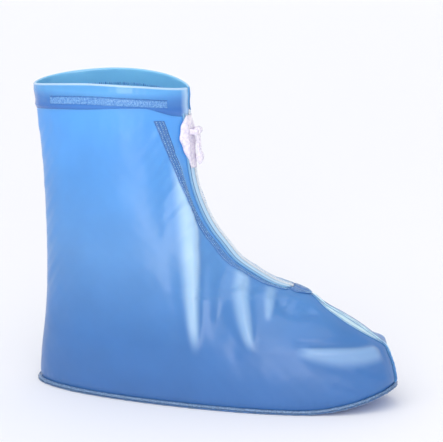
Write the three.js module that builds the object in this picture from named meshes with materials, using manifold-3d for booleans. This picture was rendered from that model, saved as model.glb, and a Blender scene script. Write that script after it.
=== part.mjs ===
// Zip-front over-boot cover of welded PVC film, for the right or the left foot.
// Millimetres, +X to the toe, +Z up, Y = 0 is the plane through the zip and the toe seam.
import * as THREE from "three";
import { mergeVertices } from "three/addons/utils/BufferGeometryUtils.js";
import Module from "manifold-3d";

// ---- driving dimensions ----
const HEIGHT = 260; // sole to the rim at the zip and at the back
const RIM_ARCH = 6.5; // how much higher the rim stands at the middle of each side
const RIM_ARCH_FROM = 190; // height where the arch begins to lift the rows
const FRAME_SHIFT = 1.175; // brings the middle of the whole length to x = 0
const FILM = 1.2; // wall of the side panels
const GAP = 0.35; // clearance between separate pieces
const LIFT = 0.65; // clearance of the strips that lie on the film
const SOLE_THICK = 1.5;
const FLANGE = 3.2; // how far the welded edge of the sole stands out
const TOE_SPRING = 17; // lift of the sole's edge at the tip of the toe
const TOE_SPRING_FROM = 81; // x where that lift begins
const TOE_SPRING_RUN = 76.5;
const TOE_SPRING_FULL = 4; // rows up to this height follow the whole lift
const TOE_SPRING_FADE = 50; // and from this height on the rows are level
const ZIP_TOP = 243;
const ZIP_END = 94.5; // height of the zip line where its end is welded over
const ZIP_SLOT = 2.6; // half of the slot between the side panels
const TOE_END = 90.8; // height where the toe seam starts
const TOE_CORNER = 51.5; // height of the toe seam's corner
const TAPE_HALF = 8.8;
const CHAIN_HALF = 2.2;
const HEM_DEPTH = 23;
const STRIP_TOP = 9.5; // elastic strip, below the rim
const STRIP_BOTTOM = 16;

// Level sections: the loop runs from the back, out to the half width at "widest", and to the front.
// A power over 1 makes that end a sharper ridge, and under 1 a blunter one.
const SECTIONS = [
  { z: 0, back: -155.2, widest: 20, front: 152.0, half: 50.0, frontPower: 0.95, backPower: 0.9 },
  { z: 10, back: -156.4, widest: 20, front: 154.4, half: 53.4, frontPower: 0.92, backPower: 0.88 },
  { z: 25, back: -155.4, widest: 12, front: 152.5, half: 53.8, frontPower: 0.88, backPower: 0.88 },
  { z: 50, back: -152.2, widest: -10, front: 146.0, half: 51.6, frontPower: 0.86, backPower: 0.88 },
  { z: 62, back: -150.8, widest: -22, front: 130.0, half: 49.5, frontPower: 0.88, backPower: 0.88 },
  { z: 73, back: -149.8, widest: -32, front: 111.5, half: 47.2, frontPower: 0.93, backPower: 0.87 },
  { z: 82, back: -149.2, widest: -40, front: 95.0, half: 45.6, frontPower: 1.02, backPower: 0.87 },
  { z: 91, back: -148.8, widest: -48, front: 82.7, half: 44.5, frontPower: 1.15, backPower: 0.86 },
  { z: 95.5, back: -148.6, widest: -52, front: 72.4, half: 44.2, frontPower: 1.22, backPower: 0.86 },
  { z: 100.2, back: -148.4, widest: -56, front: 54.9, half: 44.0, frontPower: 1.3, backPower: 0.86 },
  { z: 108.9, back: -148.2, widest: -60, front: 37.3, half: 43.6, frontPower: 1.36, backPower: 0.85 },
  { z: 118.9, back: -148.0, widest: -65, front: 21.9, half: 43.2, frontPower: 1.4, backPower: 0.85 },
  { z: 130.3, back: -148.0, widest: -69, front: 12.0, half: 42.8, frontPower: 1.42, backPower: 0.84 },
  { z: 141.8, back: -148.1, widest: -72, front: 2.4, half: 42.4, frontPower: 1.44, backPower: 0.84 },
  { z: 153.5, back: -148.3, widest: -75, front: -4.9, half: 42.0, frontPower: 1.45, backPower: 0.83 },
  { z: 170.5, back: -148.8, widest: -79, front: -12.4, half: 41.6, frontPower: 1.45, backPower: 0.83 },
  { z: 185.6, back: -149.4, widest: -82, front: -16.7, half: 41.3, frontPower: 1.45, backPower: 0.82 },
  { z: 201.2, back: -150.4, widest: -84, front: -19.0, half: 41.0, frontPower: 1.44, backPower: 0.81 },
  { z: 216.4, back: -151.7, widest: -86, front: -20.9, half: 40.8, frontPower: 1.42, backPower: 0.8 },
  { z: 243, back: -154.3, widest: -88, front: -23.2, half: 40.4, frontPower: 1.36, backPower: 0.78 },
  { z: 260, back: -155.8, widest: -88, front: -23.4, half: 40.0, frontPower: 1.3, backPower: 0.76 },
];

// Folds of the film, seen from the side: a line from start to end, standing out by "rise".
// rear and fore are the widths of its two slopes, and bow bends the line towards the toe.
const FOLDS = [
  { x0: -16, z0: 200, x1: -2, z1: 42, bow: 7, rise: 4.8, rear: 13, fore: 8 },
  { x0: -4, z0: 172, x1: 10, z1: 54, bow: 9, rise: -3.2, rear: 9, fore: 12 },
  { x0: 33, z0: 126, x1: 48, z1: 52, bow: -1, rise: 3.2, rear: 10, fore: 8 },
  { x0: 54, z0: 97, x1: 98, z1: 81, bow: -7, rise: -2.4, rear: 6, fore: 6 },
  { x0: 152, z0: 40, x1: 66, z1: 43, bow: -1, rise: 3.4, rear: 13, fore: 10 },
  { x0: -128, z0: 205, x1: -118, z1: 60, bow: 3, rise: 1.4, rear: 16, fore: 16 },
  { x0: -66, z0: 215, x1: -60, z1: 70, bow: 2, rise: -1.3, rear: 18, fore: 18 },
];

// How far to each side of the zip the inner tongue is welded to the film, and how wide the weld is.
const TONGUE_WELD = [
  { z: 92, side: 7.5, width: 2.4 },
  { z: 100, side: 10.8, width: 2.6 },
  { z: 117, side: 12.4, width: 2.8 },
  { z: 149, side: 13.4, width: 3.2 },
  { z: 179, side: 14.8, width: 3.8 },
  { z: 198, side: 17.4, width: 4.4 },
  { z: 211, side: 20.4, width: 5.0 },
  { z: 236, side: 25.4, width: 5.6 },
];

// Rows of the walls: from one height to the next in even steps, closer where the instep is flat.
const ROW_BANDS = [
  { to: 50, steps: 5 },
  { to: 85, steps: 6 },
  { to: 112, steps: 6 },
  { to: 152, steps: 4 },
  { to: HEIGHT, steps: 8 },
];
const PANEL_COLUMNS = 30;
const COLUMN_CROWDING = 1.3; // columns stand closer beside the zip
const OUTLINE_STEPS = 64; // round the sole

// Slider and pull tab
const SLIDER_TOP = 231;
const SLIDER_BOTTOM = 208;
const PIVOT_Z = 225;
const PIVOT_OUT = 6.2; // pivot in front of the zip line
const TAB_ANGLE = 5; // the tab hangs this many degrees forward of plumb
const TAB_LENGTH = 21.6; // pivot to the middle of its bead
const TAB_WIDTH = 8.6;
const TAB_THICK = 1.8;
const BARREL_RADIUS = 3.1;
const BEAD_RADIUS = 3.0;
const PIN_RADIUS = 1.0;
const PIN_HOLE = 1.4;
const LUG_INNER = 4.8;
const LUG_OUTER = 6.6;
const LUG_RADIUS = 2.3;
const LUG_FOOT = 4.8; // from the pin back into the saddle

// ---- small helpers ----
const clamp = (v, low, high) => Math.min(high, Math.max(low, v));
const smooth = (t) => {
  const u = clamp(t, 0, 1);
  return u * u * (3 - 2 * u);
};

// Smooth value of a table's column at a height, with no overshoot between rows.
function column(rows, name, z) {
  const last = rows.length - 1;
  const v = clamp(z, rows[0].z, rows[last].z);
  let i = 0;
  while (i < last - 1 && v > rows[i + 1].z) i += 1;
  const step = (k) => (rows[k + 1][name] - rows[k][name]) / (rows[k + 1].z - rows[k].z);
  const slopeAt = (k) => {
    if (k === 0) return step(0);
    if (k === last) return step(last - 1);
    const before = step(k - 1);
    const after = step(k);
    return before * after <= 0 ? 0 : (2 * before * after) / (before + after);
  };
  const run = rows[i + 1].z - rows[i].z;
  const t = (v - rows[i].z) / run;
  const a = rows[i][name];
  const b = rows[i + 1][name];
  const cubic = t * t * (3 - 2 * t);
  const ease = t * (1 - t);
  return a + (b - a) * cubic + run * ease * ((1 - t) * slopeAt(i) - t * slopeAt(i + 1));
}

const sectionAt = (name, z) => column(SECTIONS, name, z);
const toeLift = (x) => TOE_SPRING * Math.max(0, (x - TOE_SPRING_FROM) / TOE_SPRING_RUN) ** 2;

// Point of the smooth outer surface. angle 0 is the zip line, PI the back, and negative the right side.
function smoothPoint(z, angle) {
  const widest = sectionAt("widest", z);
  const cos = Math.cos(angle);
  const end = cos > 0 ? sectionAt("front", z) : sectionAt("back", z);
  const power = sectionAt(cos > 0 ? "frontPower" : "backPower", z);
  const sin = Math.sin(angle);
  const x = widest + Math.abs(end - widest) * cos;
  const y = Math.sign(sin) * sectionAt("half", z) * Math.abs(sin) ** power;
  const lift = toeLift(x + FRAME_SHIFT) * clamp((TOE_SPRING_FADE - z) / (TOE_SPRING_FADE - TOE_SPRING_FULL), 0, 1);
  const arch = RIM_ARCH * sin * sin * smooth((z - RIM_ARCH_FROM) / (HEIGHT - RIM_ARCH_FROM));
  return new THREE.Vector3(x + FRAME_SHIFT, y, z + lift + arch);
}

function outwardNormal(z, angle) {
  const dz = 0.05;
  const da = 0.0005;
  const up = smoothPoint(Math.min(z + dz, HEIGHT), angle).sub(smoothPoint(Math.max(z - dz, 0), angle));
  const round = smoothPoint(z, angle + da).sub(smoothPoint(z, angle - da));
  return round.cross(up).normalize();
}

// How far the folds push the film out at a place seen from the side.
function foldRise(x, z) {
  return FOLDS.reduce((sum, f) => {
    const along = new THREE.Vector2(f.x1 - f.x0, f.z1 - f.z0);
    const length = along.length();
    along.divideScalar(length);
    const t = ((x - f.x0) * along.x + (z - f.z0) * along.y) / length;
    if (t <= 0 || t >= 1) return sum;
    const across = (x - f.x0) * -along.y + (z - f.z0) * along.x;
    const swell = Math.sin(Math.PI * t);
    const offset = across - f.bow * swell;
    const width = (offset < 0 ? f.rear : f.fore) * (0.35 + 0.65 * swell);
    return sum + f.rise * swell * Math.exp(-((offset / width) ** 2));
  }, 0);
}

// Point of the film, "out" millimetres outside its outer face.
function filmPoint(z, angle, out) {
  const point = smoothPoint(z, angle);
  const away = smooth((Math.abs(point.y) - 6) / 16);
  return point.addScaledVector(outwardNormal(z, angle), out + foldRise(point.x, point.z) * away);
}

// Angle where the section's front end is "side" millimetres from the middle plane.
const angleAtSide = (z, side) =>
  Math.sign(side) * Math.asin((Math.abs(side) / sectionAt("half", z)) ** (1 / sectionAt("frontPower", z)));
const angleAtBack = (z, side) =>
  Math.PI - Math.asin((side / sectionAt("half", z)) ** (1 / sectionAt("backPower", z)));

function evenSteps(from, to, steps) {
  return Array.from({ length: steps + 1 }, (_, i) => from + ((to - from) * i) / steps);
}

function wallRows(from, to) {
  const rows = [0];
  for (const band of ROW_BANDS) rows.push(...evenSteps(rows.at(-1), band.to, band.steps).slice(1));
  const inside = rows.filter((z) => z > from + 1 && z < to - 1);
  return [from, ...inside, to];
}

// Closed solid between an outer and an inner grid of points: place(row, column, layer).
function shell(rowCount, columnCount, place) {
  const corner = (i, j, layer) => (layer * rowCount + i) * columnCount + j;
  const vertices = [];
  for (const layer of [0, 1])
    for (let i = 0; i < rowCount; i += 1)
      for (let j = 0; j < columnCount; j += 1) vertices.push(...place(i, j, layer).toArray());
  const faces = [];
  const apart = (a, b) => {
    const [p, q] = [a, b].map((v) => new THREE.Vector3().fromArray(vertices, v * 3));
    return p.distanceTo(q);
  };
  // Each four-sided cell is split along its shorter diagonal.
  const quad = (a, b, c, d) => {
    if (apart(a, c) < apart(b, d)) faces.push(a, b, c, a, c, d);
    else faces.push(a, b, d, b, c, d);
  };
  for (let i = 0; i < rowCount - 1; i += 1)
    for (let j = 0; j < columnCount - 1; j += 1) {
      quad(corner(i, j, 0), corner(i, j + 1, 0), corner(i + 1, j + 1, 0), corner(i + 1, j, 0));
      quad(corner(i, j, 1), corner(i + 1, j, 1), corner(i + 1, j + 1, 1), corner(i, j + 1, 1));
    }
  for (let i = 0; i < rowCount - 1; i += 1) {
    const last = columnCount - 1;
    quad(corner(i, 0, 0), corner(i + 1, 0, 0), corner(i + 1, 0, 1), corner(i, 0, 1));
    quad(corner(i, last, 0), corner(i, last, 1), corner(i + 1, last, 1), corner(i + 1, last, 0));
  }
  for (let j = 0; j < columnCount - 1; j += 1) {
    const last = rowCount - 1;
    quad(corner(0, j, 0), corner(0, j, 1), corner(0, j + 1, 1), corner(0, j + 1, 0));
    quad(corner(last, j, 0), corner(last, j + 1, 0), corner(last, j + 1, 1), corner(last, j, 1));
  }
  return closedGeometry(vertices, faces);
}

// Geometry whose faces all point outwards, from corners and triangles.
function closedGeometry(vertices, faces) {
  const volume = faces.reduce((sum, _, k) => {
    if (k % 3) return sum;
    const [a, b, c] = [0, 1, 2].map((n) => new THREE.Vector3().fromArray(vertices, faces[k + n] * 3));
    return sum + a.dot(b.cross(c));
  }, 0);
  const outward = volume < 0 ? faces.map((_, k) => faces[k - (k % 3) + [0, 2, 1][k % 3]]) : faces;
  const geometry = new THREE.BufferGeometry();
  geometry.setAttribute("position", new THREE.Float32BufferAttribute(vertices, 3));
  geometry.setIndex(outward);
  geometry.computeVertexNormals();
  return geometry;
}

// Strip that lies on the film: edges(z) gives its two edges as distances from the middle plane.
function filmStrip(rows, columns, edges, low, high) {
  return shell(rows.length, columns + 1, (i, j, layer) => {
    const [near, far] = edges(rows[i], i / (rows.length - 1));
    const side = near + ((far - near) * j) / columns;
    const angle = angleAtSide(rows[i], side);
    return filmPoint(rows[i], angle, layer ? low : high);
  });
}

const wasm = await Module();
wasm.setup();

function toSolid(geometry) {
  const bare = geometry.clone();
  bare.deleteAttribute("normal");
  bare.deleteAttribute("uv");
  const merged = mergeVertices(bare, 1e-3);
  return new wasm.Manifold(
    new wasm.Mesh({
      numProp: 3,
      vertProperties: new Float32Array(merged.attributes.position.array),
      triVerts: new Uint32Array(merged.index.array),
    }),
  );
}

function fromSolid(solid) {
  const mesh = solid.getMesh();
  const geometry = new THREE.BufferGeometry();
  geometry.setAttribute("position", new THREE.BufferAttribute(mesh.vertProperties, 3));
  geometry.setIndex(new THREE.BufferAttribute(mesh.triVerts, 1));
  geometry.computeVertexNormals();
  return geometry;
}

const part = new THREE.Group();

function addPiece(name, geometry, color, roughness) {
  const mesh = new THREE.Mesh(
    geometry,
    new THREE.MeshStandardMaterial({ color, roughness, metalness: 0 }),
  );
  mesh.name = name;
  part.add(mesh);
  return mesh;
}

const FILM_BLUE = 0x69ace8;
const HEM_BLUE = 0x4f92dd;
const WELD_BLUE = 0x3f7ac4;
const TAPE_WHITE = 0xdfeaf6;
const PLASTIC_WHITE = 0xf0ebf5;
const SIDES = [
  { label: "right", sign: -1 },
  { label: "left", sign: 1 },
];

// Half of the opening between the side panels: a slot along the zip, closed along the toe.
const slotHalf = (z) => GAP + (ZIP_SLOT - GAP) * smooth((z - TOE_END) / (ZIP_END - TOE_END));

function sidePanel(sign) {
  const rows = wallRows(SOLE_THICK + GAP, HEIGHT);
  return shell(rows.length, PANEL_COLUMNS + 1, (i, j, layer) => {
    const z = rows[i];
    const first = angleAtSide(z, slotHalf(z));
    const last = angleAtBack(z, GAP);
    const angle = first + (last - first) * (j / PANEL_COLUMNS) ** COLUMN_CROWDING;
    return filmPoint(z, sign * angle, layer ? -FILM : 0);
  });
}

// Sole sheet: rings from the outline, with the welded flange, in to the middle.
function soleSheet() {
  const around = OUTLINE_STEPS;
  const middle = new THREE.Vector3(sectionAt("widest", 0) + FRAME_SHIFT, 0, 0);
  const rings = [1, 0.93, 0.82, 0.64, 0.4, 0.16];
  const vertices = [];
  const place = (ring, k) => {
    const angle = (2 * Math.PI * (k + 0.5)) / around;
    const edge = smoothPoint(0, angle > Math.PI ? angle - 2 * Math.PI : angle);
    edge.z = 0;
    edge.addScaledVector(edge.clone().sub(middle).normalize(), FLANGE);
    return middle.clone().lerp(edge, ring);
  };
  for (const layer of [0, 1]) {
    for (const ring of rings)
      for (let k = 0; k < around; k += 1) {
        const point = place(ring, k);
        vertices.push(point.x, point.y, toeLift(point.x) + layer * SOLE_THICK);
      }
    vertices.push(middle.x, middle.y, layer * SOLE_THICK);
  }
  const perLayer = rings.length * around + 1;
  const at = (layer, ring, k) => layer * perLayer + ring * around + (k % around);
  const faces = [];
  for (let k = 0; k < around; k += 1) {
    for (let ring = 0; ring < rings.length - 1; ring += 1) {
      const low = [at(0, ring, k), at(0, ring, k + 1), at(0, ring + 1, k + 1), at(0, ring + 1, k)];
      const high = low.map((v) => v + perLayer);
      faces.push(low[0], low[2], low[1], low[0], low[3], low[2]);
      faces.push(high[0], high[1], high[2], high[0], high[2], high[3]);
    }
    const inner = rings.length - 1;
    faces.push(perLayer - 1, at(0, inner, k + 1), at(0, inner, k));
    faces.push(2 * perLayer - 1, at(1, inner, k), at(1, inner, k + 1));
    faces.push(at(0, 0, k), at(0, 0, k + 1), at(1, 0, k + 1));
    faces.push(at(0, 0, k), at(1, 0, k + 1), at(1, 0, k));
  }
  return closedGeometry(vertices, faces);
}

// Bead of the weld, on top of the flange all round.
function soleSeam() {
  const around = OUTLINE_STEPS;
  const foot = SOLE_THICK + GAP;
  const corners = [
    [FLANGE - 1.6, foot],
    [FLANGE - 0.3, foot],
    [FLANGE - 0.5, foot + 0.8],
    [FLANGE - 1.3, foot + 0.8],
  ];
  const vertices = [];
  for (let k = 0; k < around; k += 1) {
    const angle = (2 * Math.PI * (k + 0.5)) / around;
    const signed = angle > Math.PI ? angle - 2 * Math.PI : angle;
    const edge = smoothPoint(0, signed);
    const ahead = smoothPoint(0, signed + 0.001);
    const out = new THREE.Vector3(ahead.y - edge.y, edge.x - ahead.x, 0).normalize();
    for (const [reach, height] of corners) {
      const point = edge.clone().addScaledVector(out, reach);
      vertices.push(point.x, point.y, toeLift(point.x) + height);
    }
  }
  const n = corners.length;
  const faces = [];
  for (let k = 0; k < around; k += 1)
    for (let c = 0; c < n; c += 1) {
      const here = [k * n + c, k * n + ((c + 1) % n)];
      const next = here.map((v) => (v + n) % (around * n));
      faces.push(here[0], next[0], next[1], here[0], next[1], here[1]);
    }
  return closedGeometry(vertices, faces);
}

// Inner tongue: a sheet folded in behind the zip, from one weld to the other.
function tongue() {
  const rows = wallRows(98, 234);
  const columns = 10;
  const thick = 0.9;
  return shell(rows.length, columns + 1, (i, j, layer) => {
    const z = rows[i];
    const side = column(TONGUE_WELD, "side", z);
    const edge = filmPoint(z, angleAtSide(z, side), -(FILM + GAP));
    const t = -1 + (2 * j) / columns;
    const half = edge.y - 1.5;
    const depth = 8 + 0.35 * side;
    const forward = new THREE.Vector2(half, -2 * depth * t).normalize();
    const push = layer ? -thick : 0;
    return new THREE.Vector3(
      edge.x - 0.4 - depth * (1 - t * t) + push * forward.x,
      half * t + push * forward.y,
      edge.z,
    );
  });
}

function hemBand(sign) {
  const rows = evenSteps(HEIGHT - HEM_DEPTH, HEIGHT - 0.4, 3);
  const columns = 20;
  return shell(rows.length, columns + 1, (i, j, layer) => {
    const z = rows[i];
    const first = angleAtSide(z, ZIP_SLOT + 2.5);
    const last = angleAtBack(z, 3);
    const angle = first + ((last - first) * j) / columns;
    return filmPoint(z, sign * angle, -(FILM + GAP) - (layer ? 1 : 0));
  });
}

function elasticStrip(sign) {
  const rows = evenSteps(HEIGHT - STRIP_BOTTOM, HEIGHT - STRIP_TOP, 2);
  const columns = 16;
  const [first, last] = [0.66, 2.3]; // angles at its ends, before the zip and before the back
  return shell(rows.length, columns + 1, (i, j, layer) => {
    const angle = first + ((last - first) * j) / columns;
    return filmPoint(rows[i], sign * angle, layer ? LIFT : LIFT + 0.7);
  });
}

function tongueWeld(sign) {
  const rows = wallRows(96.5, 234);
  const edges = (z) => {
    const middle = column(TONGUE_WELD, "side", z);
    const half = column(TONGUE_WELD, "width", z) / 2;
    return [sign * (middle - half), sign * (middle + half)];
  };
  return filmStrip(rows, 2, edges, LIFT, LIFT + 0.6);
}

// The tape stops short of the weld beside it where the two come together.
function zipTape(sign) {
  const rows = wallRows(ZIP_END + 2.6, ZIP_TOP);
  const edges = (z) => {
    const weld = column(TONGUE_WELD, "side", z) - column(TONGUE_WELD, "width", z) / 2;
    return [sign * (CHAIN_HALF + GAP), sign * Math.min(TAPE_HALF, weld - GAP)];
  };
  return filmStrip(rows, 2, edges, LIFT, LIFT + 0.7);
}

function zipChain() {
  const rows = wallRows(ZIP_END + 2.6, ZIP_TOP - 1);
  return filmStrip(rows, 4, () => [-CHAIN_HALF, CHAIN_HALF], -0.7, 1.0);
}

// Pointed sheet welded over the zip's end.
function zipEnd() {
  const rows = evenSteps(ZIP_END + 2.1, TOE_END + 0.6, 6);
  const edges = (z, t) => {
    const half = 1.2 + 7.6 * Math.sin(Math.PI * clamp(0.28 + 0.72 * t, 0, 1)) ** 0.8;
    return [-half, half];
  };
  return filmStrip(rows, 6, edges, LIFT, LIFT + 0.8);
}

// Toe seam: a leaf along the top of the toe, then a narrow weld down its front.
function toeSeam() {
  const top = evenSteps(TOE_END, TOE_CORNER, 12);
  const front = evenSteps(TOE_CORNER, SOLE_THICK + GAP + 2.2, 7).slice(1);
  const rows = [...top, ...front];
  const edges = (z) => {
    const t = clamp((TOE_END - z) / (TOE_END - TOE_CORNER), 0, 1);
    const half = 1.3 + 6.4 * Math.sin(Math.PI * t ** 1.15) ** 1.2;
    return [-half, half];
  };
  return filmStrip(rows, 6, edges, LIFT, LIFT + 0.8);
}

// Slider: a saddle over the zip, two lugs and the pin that the pull tab turns on.
function slider() {
  const rows = evenSteps(SLIDER_BOTTOM, SLIDER_TOP, 6);
  const columns = 12;
  const saddle = shell(rows.length, columns + 1, (i, j, layer) => {
    const z = rows[i];
    const rise = (z - SLIDER_BOTTOM) / (SLIDER_TOP - SLIDER_BOTTOM);
    const half = 8.2 + 5.2 * Math.sin(Math.PI * clamp(0.1 + rise * 0.8, 0, 1));
    const side = half * (-1 + (2 * j) / columns);
    const wing = smooth((Math.abs(side) - 4) / 5);
    const under = LIFT + 0.7 + GAP + 0.1;
    return filmPoint(z, angleAtSide(z, side), layer ? under : under + 0.9 + 1.7 * wing);
  });
  const pivot = pivotPoint();
  const cylinder = (radius, from, to) => {
    const geometry = new THREE.CylinderGeometry(radius, radius, to - from, 24);
    return geometry.translate(pivot.x, (from + to) / 2, pivot.z);
  };
  let body = toSolid(saddle).add(toSolid(cylinder(PIN_RADIUS, -LUG_INNER - 0.5, LUG_INNER + 0.5)));
  for (const { sign } of SIDES) {
    const ends = [sign * LUG_INNER, sign * LUG_OUTER].sort((a, b) => a - b);
    const foot = new THREE.BoxGeometry(LUG_FOOT, LUG_OUTER - LUG_INNER, 2 * LUG_RADIUS);
    foot.translate(pivot.x - LUG_FOOT / 2, (ends[0] + ends[1]) / 2, pivot.z);
    body = body.add(toSolid(cylinder(LUG_RADIUS, ends[0], ends[1]))).add(toSolid(foot));
  }
  return fromSolid(body);
}

function pivotPoint() {
  return new THREE.Vector3(smoothPoint(PIVOT_Z, 0).x + PIVOT_OUT, 0, PIVOT_Z);
}

// Pull tab in side view: barrel, thin shank and a tear-shaped bead, with the pin's hole.
function pullTab() {
  const shape = new THREE.Shape();
  const half = TAB_THICK / 2;
  const barrelTurn = Math.asin(half / BARREL_RADIUS);
  const beadTurn = Math.asin(half / BEAD_RADIUS);
  const tail = -TAB_LENGTH - BEAD_RADIUS - 3.6;
  shape.absarc(0, 0, BARREL_RADIUS, -Math.PI / 2 + barrelTurn, 1.5 * Math.PI - barrelTurn, false);
  shape.absarc(0, -TAB_LENGTH, BEAD_RADIUS, Math.PI / 2 + beadTurn, Math.PI * 1.12, false);
  shape.lineTo(-0.7, tail);
  shape.lineTo(0.7, tail);
  shape.absarc(0, -TAB_LENGTH, BEAD_RADIUS, -Math.PI * 0.12, Math.PI / 2 - beadTurn, false);
  const hole = new THREE.Path();
  hole.absarc(0, 0, PIN_HOLE, 0, 2 * Math.PI, true);
  shape.holes.push(hole);
  const geometry = new THREE.ExtrudeGeometry(shape, {
    depth: TAB_WIDTH,
    bevelEnabled: false,
    curveSegments: 12,
  });
  return geometry.translate(0, 0, -TAB_WIDTH / 2).rotateX(Math.PI / 2);
}

addPiece("sole", soleSheet(), FILM_BLUE, 0.45);
addPiece("sole_seam", soleSeam(), WELD_BLUE, 0.4);
for (const { label, sign } of SIDES) {
  addPiece("side_panel_" + label, sidePanel(sign), FILM_BLUE, 0.3);
  addPiece("top_hem_" + label, hemBand(sign), HEM_BLUE, 0.35);
  addPiece("elastic_strip_" + label, elasticStrip(sign), HEM_BLUE, 0.5);
  addPiece("tongue_weld_" + label, tongueWeld(sign), WELD_BLUE, 0.45);
  addPiece("zipper_tape_" + label, zipTape(sign), TAPE_WHITE, 0.6);
}
addPiece("tongue", tongue(), FILM_BLUE, 0.3);
addPiece("zipper_chain", zipChain(), TAPE_WHITE, 0.4);
addPiece("zipper_end_weld", zipEnd(), WELD_BLUE, 0.4);
addPiece("toe_seam", toeSeam(), FILM_BLUE, 0.3);
addPiece("zipper_slider", slider(), PLASTIC_WHITE, 0.35);

const tab = addPiece("pull_tab", pullTab(), PLASTIC_WHITE, 0.35);
tab.position.copy(pivotPoint());
tab.rotation.y = (-TAB_ANGLE * Math.PI) / 180;

export default part;
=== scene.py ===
import math

import bpy
import numpy as np
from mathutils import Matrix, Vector


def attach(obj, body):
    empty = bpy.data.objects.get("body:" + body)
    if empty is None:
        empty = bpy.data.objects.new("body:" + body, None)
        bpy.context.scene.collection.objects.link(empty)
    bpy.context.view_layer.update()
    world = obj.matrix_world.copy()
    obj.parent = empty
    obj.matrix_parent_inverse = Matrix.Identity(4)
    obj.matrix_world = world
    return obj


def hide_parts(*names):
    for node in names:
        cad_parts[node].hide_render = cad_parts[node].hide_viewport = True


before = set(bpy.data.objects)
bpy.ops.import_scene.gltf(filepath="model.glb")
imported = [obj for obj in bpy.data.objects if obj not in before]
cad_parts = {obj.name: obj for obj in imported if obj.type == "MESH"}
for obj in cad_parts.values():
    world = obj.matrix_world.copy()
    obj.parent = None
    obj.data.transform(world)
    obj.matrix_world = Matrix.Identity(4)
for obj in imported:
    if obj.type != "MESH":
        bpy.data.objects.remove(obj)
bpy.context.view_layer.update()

# ---- sizes, in millimetres unless a name says otherwise ----
MM = 0.001
HEIGHT = 260.0
RIM_ARCH = 6.5
RIM_ARCH_FROM = 190.0
FRAME_SHIFT = 1.175
FILM_WALL = 0.9  # wall of the film as it is seen
SOLE_THICK = 1.5
FLANGE = 3.2
TOE_SPRING = 17.0
TOE_SPRING_FROM = 81.0
TOE_SPRING_RUN = 76.5
TOE_SPRING_FULL = 4.0
TOE_SPRING_FADE = 50.0
ZIP_TOP = 243.0
ZIP_END = 94.5
ZIP_SLOT = 2.6
TOE_END = 90.8
TOE_CORNER = 51.5
TAPE_HALF = 8.8
CHAIN_HALF = 2.2
TAPE_WIDTH = 6.4  # of one tape, from the coil to its outer edge
PIVOT_Z = 225.0
PIVOT_OUT = 6.2
TAB_ANGLE = 5.0
TAB_LENGTH = 21.6
TAB_WIDTH = 8.6
SLIDER_TOP = 238.0
SLIDER_BOTTOM = 194.0
HEM_BACK = 240.5  # height of the hem's lower edge at the back
HEM_INSIDE = 237.0  # and of its layer inside the shaft
HEM_ROLL = 1.1  # radius of its rolled edge
STRIP_FIRST = 0.66  # angles at the elastic strip's two ends
STRIP_LAST = 2.3
STRIP_LOW = 244.6
STRIP_HIGH = 250.0
PANEL_COLUMNS = 225
FOLDS_FROM = 11.0  # distance from the middle plane where the folds begin
FOLDS_FADE = 8.0
BARREL_RADIUS = 3.1
BEAD_RADIUS = 3.0
SHANK_HALF = 0.95
TAIL = 6.8  # taper of the tab below its bead
PIN_RADIUS = 1.0
PIN_HOLE = 1.4


def table(names, rows):
    return dict(zip(names.split(), np.array(rows, float).T))


SECTIONS = table(
    "z back widest front half front_power back_power",
    [
        (0, -155.2, 20, 152.0, 50.0, 0.95, 0.9),
        (10, -156.4, 20, 154.4, 53.4, 0.92, 0.88),
        (25, -155.4, 12, 152.5, 53.8, 0.88, 0.88),
        (50, -152.2, -10, 146.0, 51.6, 0.86, 0.88),
        (62, -150.8, -22, 130.0, 49.5, 0.88, 0.88),
        (73, -149.8, -32, 111.5, 47.2, 0.93, 0.87),
        (82, -149.2, -40, 95.0, 45.6, 1.02, 0.87),
        (91, -148.8, -48, 82.7, 44.5, 1.15, 0.86),
        (95.5, -148.6, -52, 72.4, 44.2, 1.22, 0.86),
        (100.2, -148.4, -56, 54.9, 44.0, 1.3, 0.86),
        (108.9, -148.2, -60, 37.3, 43.6, 1.36, 0.85),
        (118.9, -148.0, -65, 21.9, 43.2, 1.4, 0.85),
        (130.3, -148.0, -69, 12.0, 42.8, 1.42, 0.84),
        (141.8, -148.1, -72, 2.4, 42.4, 1.44, 0.84),
        (153.5, -148.3, -75, -4.9, 42.0, 1.45, 0.83),
        (170.5, -148.8, -79, -12.4, 41.6, 1.45, 0.83),
        (185.6, -149.4, -82, -16.7, 41.3, 1.45, 0.82),
        (201.2, -150.4, -84, -19.0, 41.0, 1.44, 0.81),
        (216.4, -151.7, -86, -20.9, 40.8, 1.42, 0.8),
        (243, -154.3, -88, -23.2, 40.4, 1.36, 0.78),
        (260, -155.8, -88, -23.4, 40.0, 1.3, 0.76),
    ],
)

# Half the distance between the two tongue welds, and their width, at each height.
TONGUE_WELD = table(
    "z side width",
    [
        (92, 7.8, 2.6),
        (100, 11.1, 3.2),
        (117, 12.8, 3.6),
        (149, 13.9, 4.2),
        (179, 15.3, 4.8),
        (198, 17.7, 5.0),
        (211, 20.5, 5.2),
        (236, 25.4, 5.6),
    ],
)

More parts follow.
